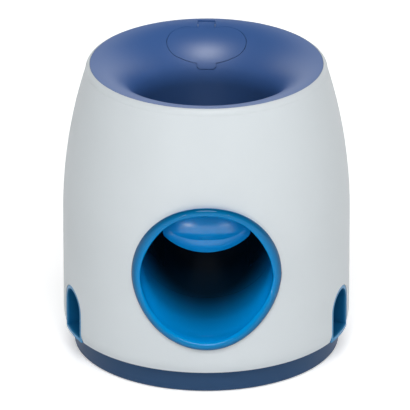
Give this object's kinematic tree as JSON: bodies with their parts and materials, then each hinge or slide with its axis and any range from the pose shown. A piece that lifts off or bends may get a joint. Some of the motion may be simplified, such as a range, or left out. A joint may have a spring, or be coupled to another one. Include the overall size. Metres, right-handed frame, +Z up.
{
  "type": "dog puzzle toy",
  "caption": "Barrel-shaped ball-and-treat puzzle toy: a ball dropped in the top funnel rolls out of the round front mouth and swings a flap that doses treats to the side outlets.",
  "frame": {"origin": "on the floor under the middle of the toy", "axes": "+Z up, -Y towards the front mouth, +X to the toy's right seen from the front"},
  "size_m": [0.173, 0.1756, 0.18],
  "materials": {
    "white_shell": "fine satin moulding",
    "navy_plastic": "smooth satin gloss",
    "blue_plastic": "smooth gloss",
    "nylon": "natural nylon",
    "steel": "bright zinc",
    "rubber": "matte"
  },
  "bodies": {
    "housing": {"outer_shell": "white_shell", "top_funnel": "navy_plastic", "lid_hinge_pin": "steel", "mouth_tube": "blue_plastic", "chute_elbow": "blue_plastic", "flap_axle_bushes": "nylon", "drum_axle_bushes": "nylon", "drum_housing": "navy_plastic", "treat_hopper": "blue_plastic", "right_treat_slide": "blue_plastic", "left_treat_slide": "blue_plastic", "treat_splitter": "blue_plastic", "right_outlet_frame": "blue_plastic", "left_outlet_frame": "blue_plastic", "base_plate": "navy_plastic", "anti_slip_ring": "rubber", "base_screws": "steel", "chute_screws": "steel", "slide_screws": "steel", "hopper_screws": "steel", "bracket_screws": "steel"},
    "lid": {"treat_lid": "navy_plastic"},
    "flap": {"trigger_flap": "blue_plastic", "flap_axle": "steel", "flap_crank": "nylon", "flap_axle_clip": "steel", "flap_peg_clip": "steel"},
    "link": {"link_rod": "nylon"},
    "drum": {"dosing_drum": "blue_plastic", "drum_axle": "steel", "drum_crank": "nylon", "drum_axle_clip": "steel", "drum_peg_clip": "steel"}
  },
  "joints": [
    {"name": "lid_hinge", "type": "hinge", "parent": "housing", "child": "lid", "pos_m": [0, 0.0655, 0.17737], "axis": [-1, 0, 0], "range_deg": [0, 95]},
    {"name": "flap_swing", "type": "hinge", "parent": "housing", "child": "flap", "pos_m": [0, -0.047, 0.12], "axis": [-1, 0, 0], "range_deg": [0, 62]},
    {"name": "link_pivot", "type": "hinge", "parent": "flap", "child": "link", "pos_m": [0, -0.047, 0.108], "axis": [-1, 0, 0], "range_deg": [-62, 0]},
    {"name": "drum_turn", "type": "hinge", "parent": "housing", "child": "drum", "pos_m": [0, 0.0585, 0.08], "axis": [-1, 0, 0], "range_deg": [0, 62]}
  ],
  "couplings": [
    {"joint": "link_pivot", "follows": "flap_swing", "ratio": -1},
    {"joint": "drum_turn", "follows": "flap_swing", "ratio": 1}
  ]
}
